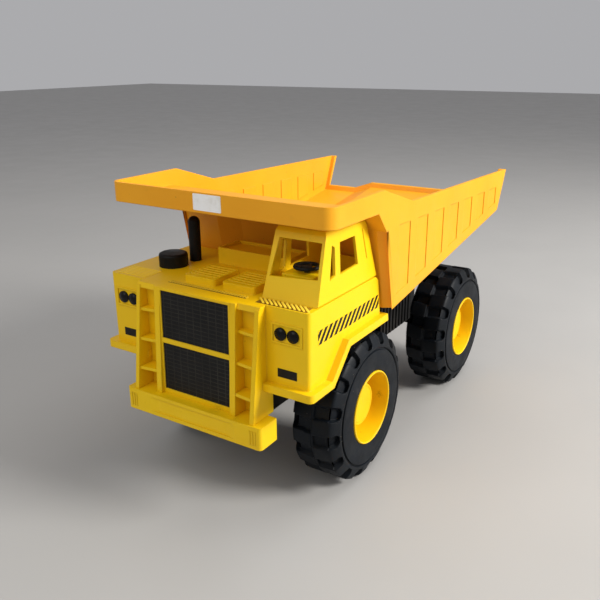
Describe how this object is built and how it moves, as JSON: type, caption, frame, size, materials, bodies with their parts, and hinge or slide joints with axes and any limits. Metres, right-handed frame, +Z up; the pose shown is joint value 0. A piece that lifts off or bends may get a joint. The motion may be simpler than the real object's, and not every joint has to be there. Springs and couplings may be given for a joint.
{
  "type": "toy dump truck",
  "caption": "Toy mining dump truck with a tipping bed under a cab canopy, free-rolling lugged wheels, a grille with side ladders and an offset cab.",
  "frame": {"origin": "on the ground, under the middle of the truck's bounding box", "axes": "+X is the truck's left, the side the cab is on; -Y is the truck's front; +Z is up"},
  "size_m": [0.211, 0.3915, 0.238],
  "materials": {
    "body_yellow": "moulded, slightly worn",
    "bed_yellow": "moulded, slightly worn",
    "black_plastic": "matte, dusty",
    "lamp_black": "gloss",
    "label_black": "printed film",
    "label_hazard": "printed film with slanted black bars",
    "label_white": "paper",
    "steel": "zinc plated",
    "tyre": "semi-matte, dusty"
  },
  "bodies": {
    "truck": {"chassis": "black_plastic", "front_body": "body_yellow", "bumper": "body_yellow", "cab_shell": "body_yellow", "air_cleaner_cap": "black_plastic", "exhaust_stack": "black_plastic", "headlamps_left": "lamp_black", "headlamps_right": "lamp_black", "grille_label_upper": "label_black", "grille_label_lower": "label_black", "marker_label_left": "label_black", "marker_label_right": "label_black", "hazard_label_left": "label_hazard", "hazard_label_right": "label_hazard", "front_axle": "steel", "rear_axle": "steel", "axle_push_nuts": "steel", "bed_hinge_pin": "steel", "bed_pin_clips": "steel", "body_screws": "steel", "cab_screws": "steel", "bumper_screws": "steel"},
    "bed": {"dump_bed": "bed_yellow", "blank_label": "label_white"},
    "steering": {"steering_wheel": "black_plastic"},
    "wheel_front_left": {"tyre_front_left": "tyre", "rim_front_left": "body_yellow", "hub_cap_front_left": "body_yellow"},
    "wheel_front_right": {"tyre_front_right": "tyre", "rim_front_right": "body_yellow", "hub_cap_front_right": "body_yellow"},
    "wheel_rear_left": {"tyre_rear_left": "tyre", "rim_rear_left": "body_yellow", "hub_cap_rear_left": "body_yellow"},
    "wheel_rear_right": {"tyre_rear_right": "tyre", "rim_rear_right": "body_yellow", "hub_cap_rear_right": "body_yellow"}
  },
  "joints": [
    {"name": "bed_tip", "type": "hinge", "parent": "truck", "child": "bed", "pos_m": [0, 0.1425, 0.16], "axis": [-1, 0, 0], "range_deg": [0, 55]},
    {"name": "steering_turn", "type": "hinge", "parent": "truck", "child": "steering", "pos_m": [0.07, -0.1425, 0.186], "axis": [0, 0.0349, 0.9994], "continuous": true},
    {"name": "wheel_spin_front_left", "type": "hinge", "parent": "truck", "child": "wheel_front_left", "pos_m": [0.077, -0.0855, 0.061], "axis": [1, 0, 0], "continuous": true},
    {"name": "wheel_spin_front_right", "type": "hinge", "parent": "truck", "child": "wheel_front_right", "pos_m": [-0.077, -0.0855, 0.061], "axis": [1, 0, 0], "continuous": true},
    {"name": "wheel_spin_rear_left", "type": "hinge", "parent": "truck", "child": "wheel_rear_left", "pos_m": [0.077, 0.1245, 0.061], "axis": [1, 0, 0], "continuous": true},
    {"name": "wheel_spin_rear_right", "type": "hinge", "parent": "truck", "child": "wheel_rear_right", "pos_m": [-0.077, 0.1245, 0.061], "axis": [1, 0, 0], "continuous": true}
  ]
}
